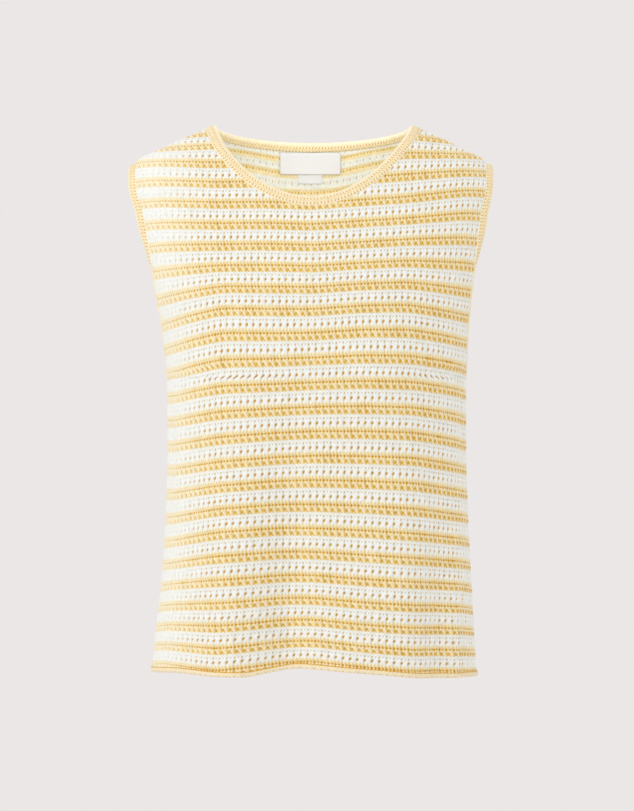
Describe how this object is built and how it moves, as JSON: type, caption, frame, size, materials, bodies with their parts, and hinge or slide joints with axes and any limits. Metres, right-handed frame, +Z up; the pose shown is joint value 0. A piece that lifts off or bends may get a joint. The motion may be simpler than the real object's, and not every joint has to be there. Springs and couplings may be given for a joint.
{
  "type": "knit tank top",
  "caption": "Sleeveless striped eyelet knit top in its worn form, hollow, with a wide round neck, banded armholes and a straight hem.",
  "frame": {"origin": "between the shoulders, 20 mm below the high shoulder points, where the wearer holds the top up", "axes": "+Z up, the front faces -Y, +X to the picture's right"},
  "size_m": [0.3632, 0.217, 0.549],
  "materials": {
    "striped_knit": "soft matte cotton knit",
    "plain_knit": "soft matte cotton knit",
    "woven_tape": "smooth satin weave"
  },
  "bodies": {
    "root": {"front_panel": "striped_knit", "back_panel": "striped_knit", "neck_band": "plain_knit", "armhole_band_left": "plain_knit", "armhole_band_right": "plain_knit", "neck_label": "woven_tape", "size_tab": "woven_tape"}
  },
  "joints": []
}
